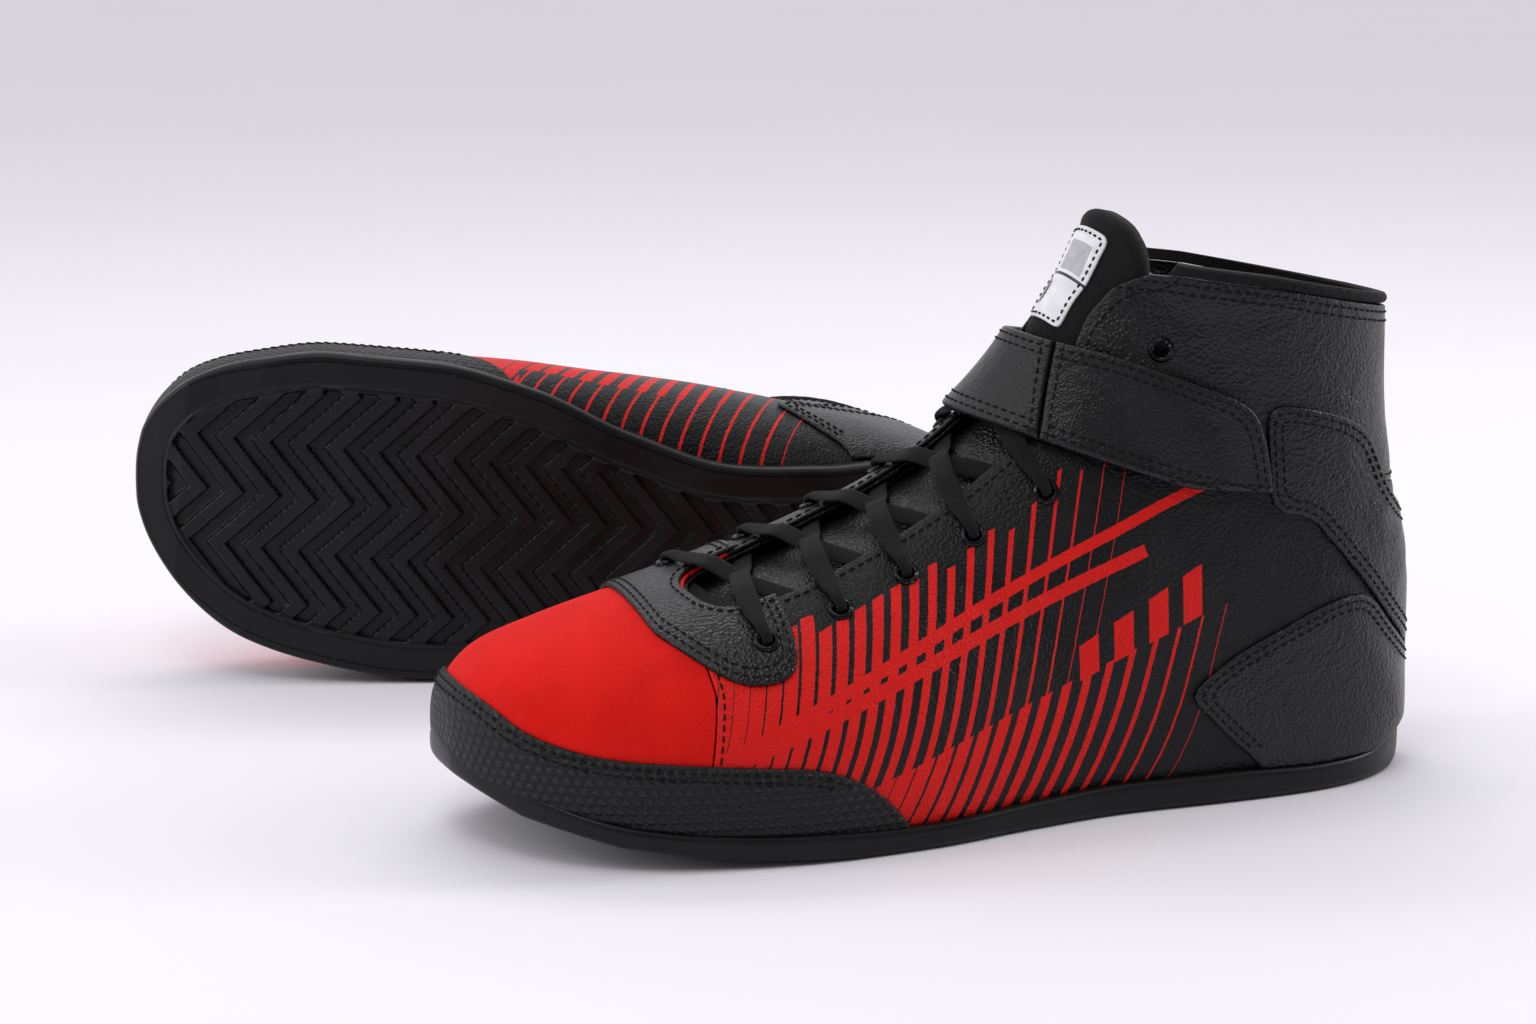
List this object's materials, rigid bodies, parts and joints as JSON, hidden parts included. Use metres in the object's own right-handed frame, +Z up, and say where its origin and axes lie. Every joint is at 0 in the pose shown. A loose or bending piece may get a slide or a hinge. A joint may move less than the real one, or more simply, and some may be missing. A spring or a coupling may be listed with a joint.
{
  "type": "boxing boots",
  "caption": "Pair of high-top lace-up boxing boots with hook-and-loop ankle straps, one standing and one lying on its side.",
  "frame": {"origin": "on the flat underside of the standing left boot, 150 mm forward of its heel", "axes": "+Z up from the floor, the standing boot points its toe along -X and its outer side along -Y"},
  "size_m": [0.3618, 0.3907, 0.1767],
  "materials": {
    "outsole_rubber": "semi-gloss moulded rubber",
    "textured_rubber": "embossed rubberised leather",
    "fibre_board": "fibre board",
    "foam": "covered foam",
    "suede": "brushed matte leather",
    "printed_leather": "grained leather with screen-printed stripes",
    "black_leather": "grained, satin",
    "strap_leather": "smooth, satin",
    "lining_textile": "brushed mesh",
    "knit_binding": "ribbed knit",
    "label_satin": "woven satin",
    "fastening_tape": "hook and loop",
    "lace_textile": "braided polyester",
    "aglet_plastic": "clear over black",
    "eyelet_metal": "black enamel"
  },
  "bodies": {
    "left_boot": {"left_aglet_lateral": "aglet_plastic", "left_aglet_medial": "aglet_plastic", "left_ankle_band_lateral": "black_leather", "left_ankle_band_medial": "black_leather", "left_collar_binding": "knit_binding", "left_eyelets_lateral": "eyelet_metal", "left_eyelets_medial": "eyelet_metal", "left_footbed": "foam", "left_heel_counter": "fibre_board", "left_heel_panel_lateral": "black_leather", "left_heel_panel_medial": "black_leather", "left_heel_strip": "outsole_rubber", "left_insole_board": "fibre_board", "left_lace": "lace_textile", "left_lining": "lining_textile", "left_loop_patch": "fastening_tape", "left_outsole": "outsole_rubber", "left_quarter_lateral": "printed_leather", "left_quarter_medial": "printed_leather", "left_shaft_lateral": "black_leather", "left_shaft_medial": "black_leather", "left_throat_overlay": "black_leather", "left_toe_guard": "textured_rubber", "left_toe_puff": "fibre_board", "left_tongue": "black_leather", "left_tongue_label": "label_satin", "left_vamp": "suede"},
    "left_strap": {"left_strap": "strap_leather"},
    "left_strap_tail": {"left_strap_tail": "strap_leather", "left_hook_patch": "fastening_tape"},
    "right_boot": {"right_aglet_lateral": "aglet_plastic", "right_aglet_medial": "aglet_plastic", "right_ankle_band_lateral": "black_leather", "right_ankle_band_medial": "black_leather", "right_collar_binding": "knit_binding", "right_eyelets_lateral": "eyelet_metal", "right_eyelets_medial": "eyelet_metal", "right_footbed": "foam", "right_heel_counter": "fibre_board", "right_heel_panel_lateral": "black_leather", "right_heel_panel_medial": "black_leather", "right_heel_strip": "outsole_rubber", "right_insole_board": "fibre_board", "right_lace": "lace_textile", "right_lining": "lining_textile", "right_loop_patch": "fastening_tape", "right_outsole": "outsole_rubber", "right_quarter_lateral": "printed_leather", "right_quarter_medial": "printed_leather", "right_shaft_lateral": "black_leather", "right_shaft_medial": "black_leather", "right_throat_overlay": "black_leather", "right_toe_guard": "textured_rubber", "right_toe_puff": "fibre_board", "right_tongue": "black_leather", "right_tongue_label": "label_satin", "right_vamp": "suede"},
    "right_strap": {"right_strap": "strap_leather"},
    "right_strap_tail": {"right_strap_tail": "strap_leather", "right_hook_patch": "fastening_tape"}
  },
  "joints": [
    {"name": "right_boot_lift", "type": "slide", "parent": "left_boot", "child": "right_boot", "axis": [0, 0, 1], "range_m": [0, 0.25]},
    {"name": "left_strap_hinge", "type": "hinge", "parent": "left_boot", "child": "left_strap", "pos_m": [0.04876, 0.03476, 0.11594], "axis": [-0.1879, 0.2866, -0.9394], "range_deg": [0, 110]},
    {"name": "left_tail_hinge", "type": "hinge", "parent": "left_strap", "child": "left_strap_tail", "pos_m": [0.02318, -0.01852, 0.12451], "axis": [-0.2843, -0.4313, -0.8562], "range_deg": [0, 100]},
    {"name": "right_strap_hinge", "type": "hinge", "parent": "right_boot", "child": "right_strap", "pos_m": [0.01554, 0.27468, 0.07558], "axis": [0.348, 0.8725, -0.343], "range_deg": [0, 110]},
    {"name": "right_tail_hinge", "type": "hinge", "parent": "right_strap", "child": "right_strap_tail", "pos_m": [-0.01345, 0.28757, 0.02499], "axis": [0.5044, 0.7832, 0.3635], "range_deg": [0, 100]}
  ]
}
